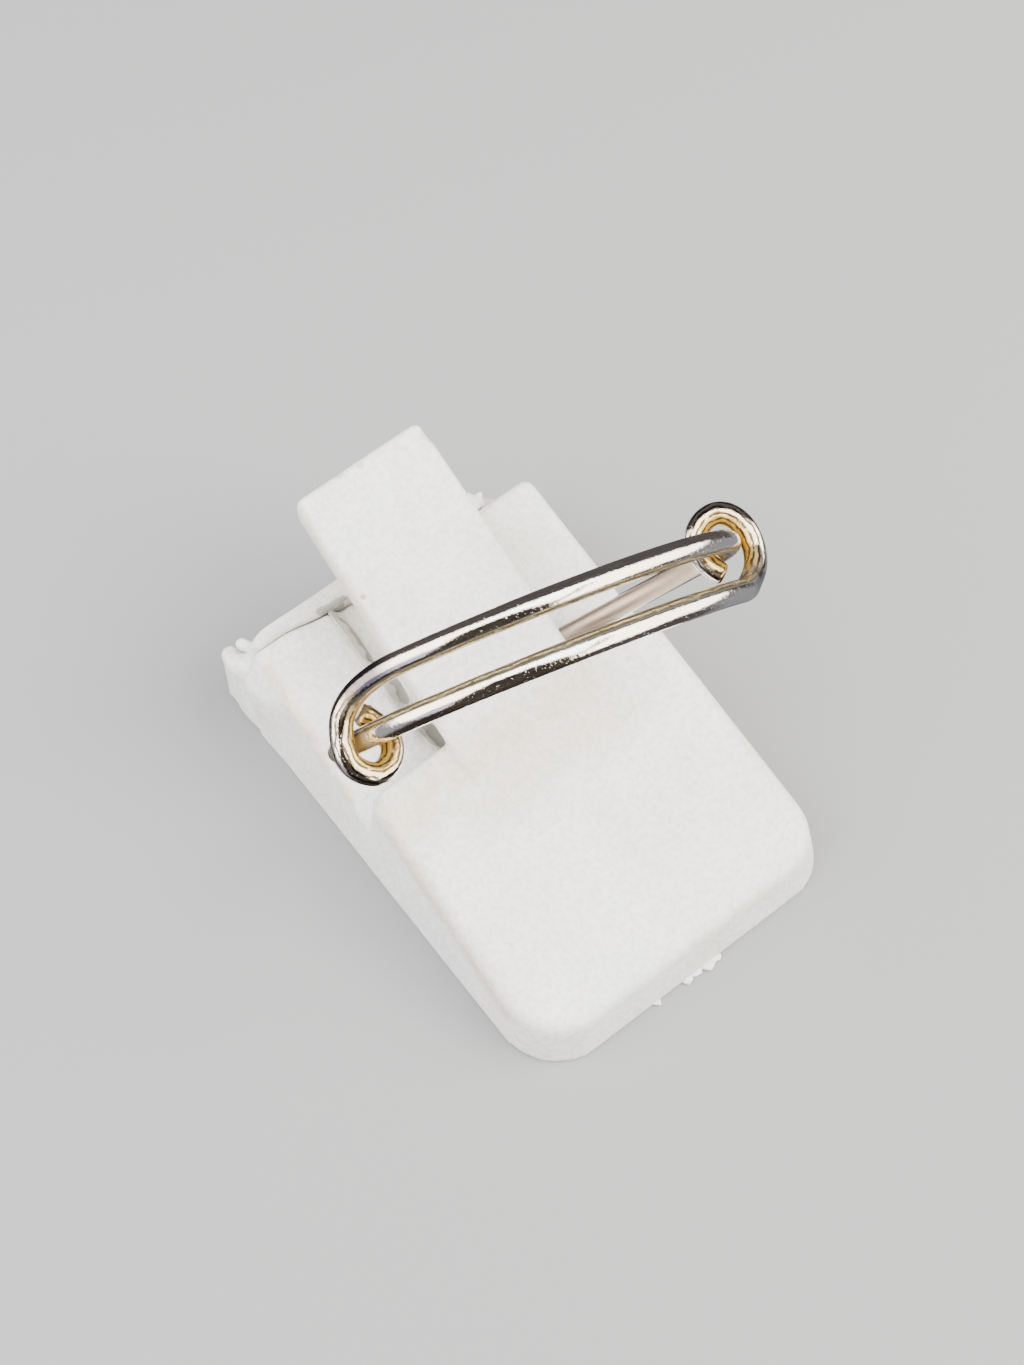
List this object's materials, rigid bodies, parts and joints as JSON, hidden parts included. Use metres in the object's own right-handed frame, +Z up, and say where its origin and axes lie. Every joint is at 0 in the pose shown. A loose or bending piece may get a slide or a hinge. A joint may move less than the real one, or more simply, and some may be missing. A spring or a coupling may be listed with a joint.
{
  "type": "silver wire ring on a display stand",
  "caption": "Adjustable finger ring of round silver wire whose ends hook around each other's strand, standing in the clip tongue of a plain white wedge-shaped plastic display stand.",
  "frame": {"origin": "middle of the stand's flat underside", "axes": "X across the stand, Y from its thin toe to its thick back, Z up"},
  "size_m": [0.0219, 0.026, 0.0241],
  "materials": {
    "silver": "polished",
    "white_plastic": "fine matt"
  },
  "bodies": {
    "root": {"ring": "silver", "stand_shell": "white_plastic", "stand_base": "white_plastic"}
  },
  "joints": []
}
